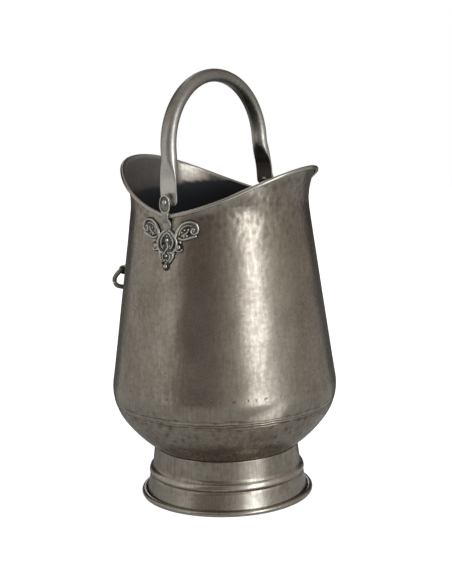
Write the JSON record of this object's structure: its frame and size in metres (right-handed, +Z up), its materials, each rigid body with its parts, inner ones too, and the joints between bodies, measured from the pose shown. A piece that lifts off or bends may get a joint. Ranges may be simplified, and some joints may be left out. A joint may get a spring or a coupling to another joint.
{
  "type": "coal scuttle",
  "caption": "Helmet coal scuttle of hammered sheet metal on a spun foot, with a flared mouth, an arched carrying handle on cast scroll brackets and a drop handle at the back",
  "frame": {"origin": "centre of the foot, on the floor", "axes": "+Z up; the carrying handle turns about X; the spout looks to -Y and the tipping handle is at +Y"},
  "size_m": [0.3, 0.3, 0.5685],
  "materials": {
    "hammered_wall": "hammered antique pewter, brown-grey patina, satin",
    "hammered_handle": "hammered antique pewter, worn brighter on the grip",
    "cast_fittings": "cast relief with dark patina in the hollows",
    "rivets": "domed, rubbed bright",
    "wire": "plain wire, hidden in the rolled edge"
  },
  "bodies": {
    "bucket": {"body_wall": "hammered_wall", "bottom_bowl": "hammered_wall", "foot": "hammered_wall", "rim_wire": "wire", "foot_wire": "wire", "ear_bracket_right": "cast_fittings", "ear_rivet_right": "rivets", "ear_washer_right": "rivets", "bracket_rivet_right_tip": "rivets", "bracket_rivet_right_front": "rivets", "bracket_rivet_right_back": "rivets", "ear_bracket_left": "cast_fittings", "ear_rivet_left": "rivets", "ear_washer_left": "rivets", "bracket_rivet_left_tip": "rivets", "bracket_rivet_left_front": "rivets", "bracket_rivet_left_back": "rivets", "back_lug_right": "cast_fittings", "lug_rivet_right_upper": "rivets", "lug_rivet_right_lower": "rivets", "back_lug_left": "cast_fittings", "lug_rivet_left_upper": "rivets", "lug_rivet_left_lower": "rivets"},
    "carrying_handle": {"carry_handle": "hammered_handle"},
    "drop_handle": {"tipping_handle": "cast_fittings"}
  },
  "joints": [
    {"name": "carrying_handle_swing", "type": "hinge", "parent": "bucket", "child": "carrying_handle", "pos_m": [0, 0, 0.41139], "axis": [1, 0, 0], "range_deg": [-66, 81]},
    {"name": "drop_handle_swing", "type": "hinge", "parent": "bucket", "child": "drop_handle", "pos_m": [0, 0.13307, 0.30039], "axis": [1, 0, 0], "range_deg": [0, 175]}
  ]
}
